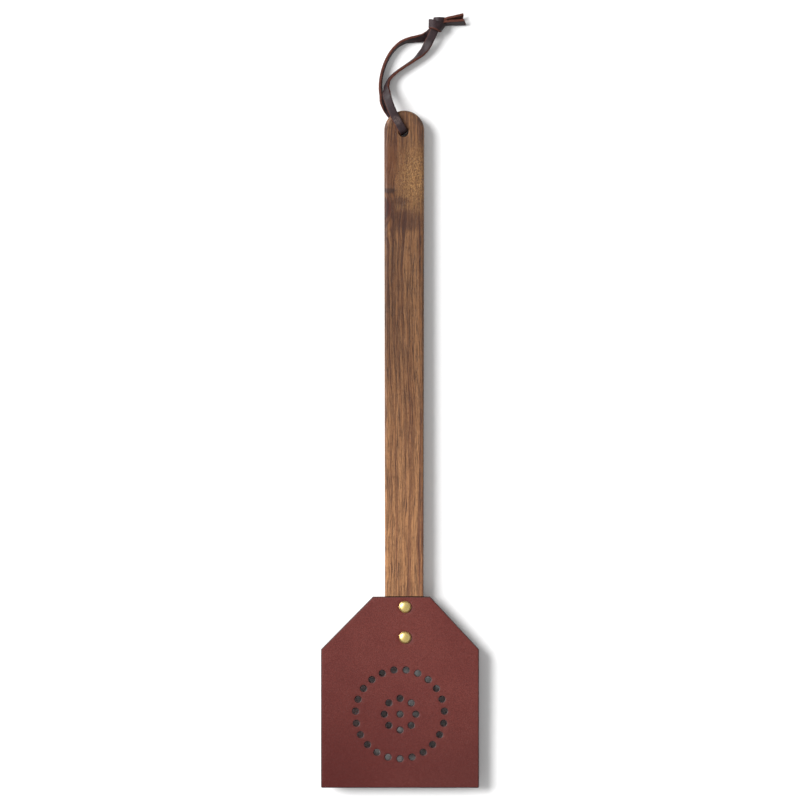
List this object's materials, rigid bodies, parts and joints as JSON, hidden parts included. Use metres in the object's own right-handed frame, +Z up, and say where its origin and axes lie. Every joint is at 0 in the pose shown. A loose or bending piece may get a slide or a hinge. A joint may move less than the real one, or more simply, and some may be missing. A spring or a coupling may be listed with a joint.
{
  "type": "fly swatter",
  "caption": "Fly swatter with a perforated leather head riveted to a flat wooden handle, and a knotted leather hang loop through the butt.",
  "frame": {"origin": "on the surface the swatter lies on, under the centre of the box round the head and handle", "axes": "+Y along the handle from the head to the butt, +Z up out of the front face, +X to the right seen from the front with the head towards the viewer"},
  "size_m": [0.105, 0.5153, 0.0135],
  "materials": {
    "wood": "oiled straight-grained hardwood, satin",
    "leather": "oxblood leather, fine pebble grain, semi-matt",
    "brass": "satin polished brass",
    "thong": "dark brown oiled leather lace, reddish cut edges"
  },
  "bodies": {
    "handle": {"handle": "wood", "leather_root": "leather", "rivet_upper_cap": "brass", "rivet_upper_back": "brass", "rivet_lower_cap": "brass", "rivet_lower_back": "brass"},
    "flap": {"leather_flap": "leather"},
    "hang_loop": {"thong_front": "thong", "thong_back": "thong", "thong_knot": "thong", "thong_tail_upper": "thong", "thong_tail_lower": "thong"}
  },
  "joints": [
    {"name": "flap_flex", "type": "hinge", "parent": "handle", "child": "flap", "pos_m": [0, -0.138, 0.0098], "axis": [-1, 0, 0], "range_deg": [-40, 40], "stiffness_Nm_per_rad": 0.35},
    {"name": "hang_loop_swing", "type": "hinge", "parent": "handle", "child": "hang_loop", "pos_m": [0.0024, 0.2106, 0.0068], "axis": [0, 0, 1], "range_deg": [-90, 90]}
  ]
}
